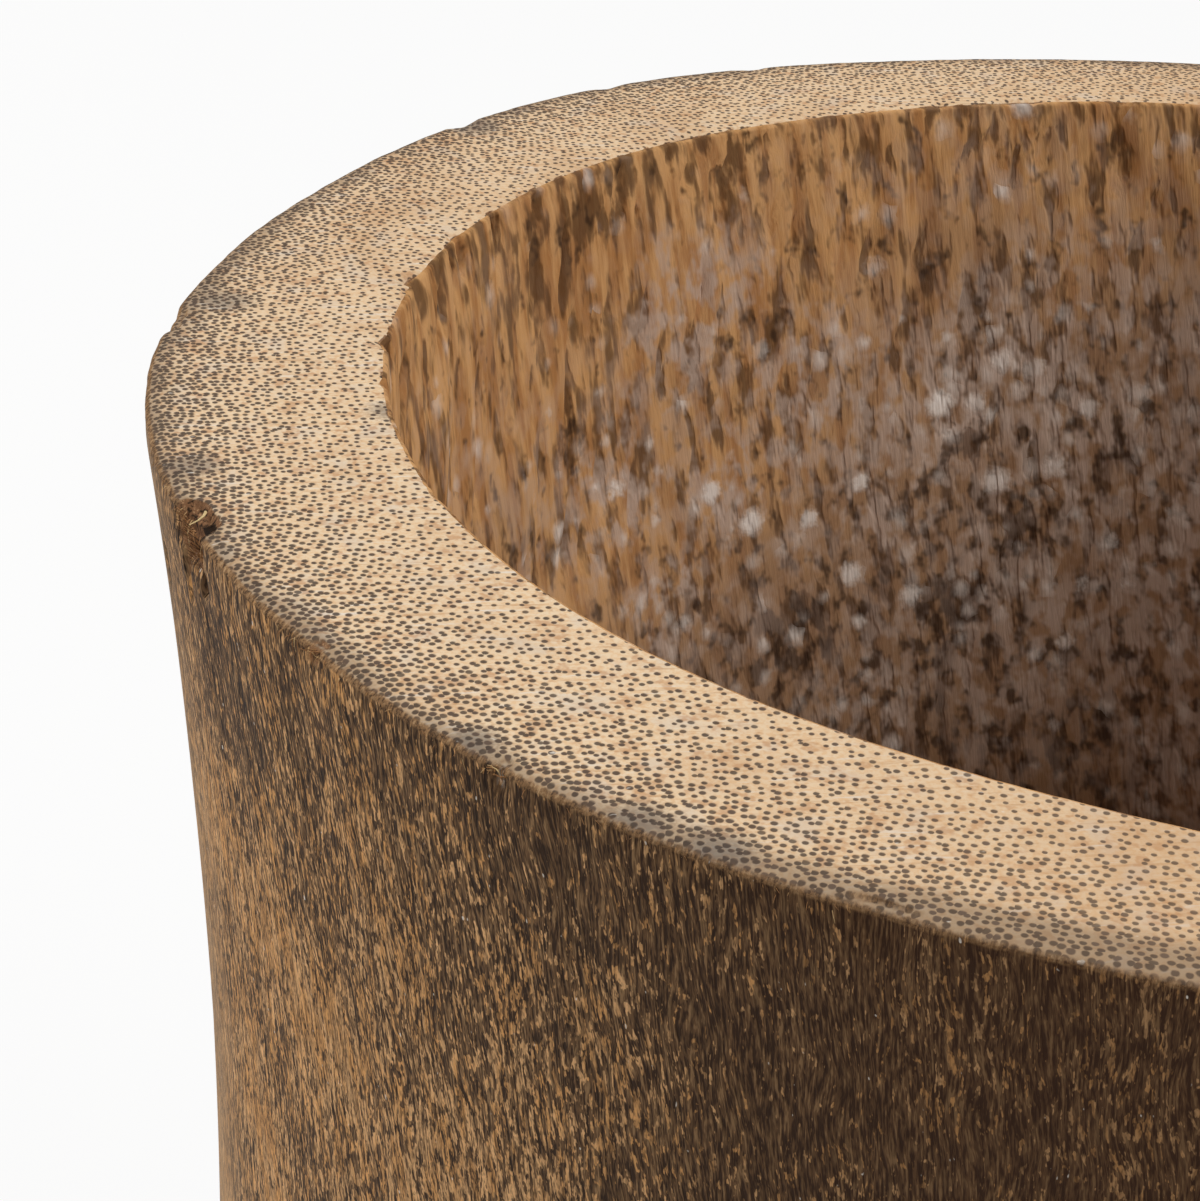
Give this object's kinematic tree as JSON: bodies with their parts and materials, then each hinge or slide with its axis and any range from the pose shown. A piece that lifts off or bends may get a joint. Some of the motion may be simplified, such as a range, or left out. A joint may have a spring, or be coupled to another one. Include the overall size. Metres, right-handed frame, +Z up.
{
  "type": "flower pot",
  "caption": "Wooden flower pot: a hollowed length of palm trunk with a sawn end-grain rim, a pegged floor board, a pitch seal and a drain hole.",
  "frame": {"origin": "centre of the pot's outline on the ground that it stands on", "axes": "+Z up, out of the pot's mouth; -Y towards the picture's camera, +X to its right"},
  "size_m": [0.2916, 0.2866, 0.29],
  "materials": {
    "palm_wood": "raw palm wood, dark and fibrous on the outside, pale end grain on the rim",
    "board_wood": "raw sawn board, stained by damp",
    "peg_wood": "raw split hardwood",
    "pitch": "satin black pitch"
  },
  "bodies": {
    "root": {"trunk_shell": "palm_wood", "floor_disc": "board_wood", "floor_peg_1": "peg_wood", "floor_peg_2": "peg_wood", "floor_peg_3": "peg_wood", "floor_peg_4": "peg_wood", "floor_peg_5": "peg_wood", "floor_peg_6": "peg_wood", "floor_peg_7": "peg_wood", "floor_peg_8": "peg_wood", "floor_seal": "pitch"}
  },
  "joints": []
}
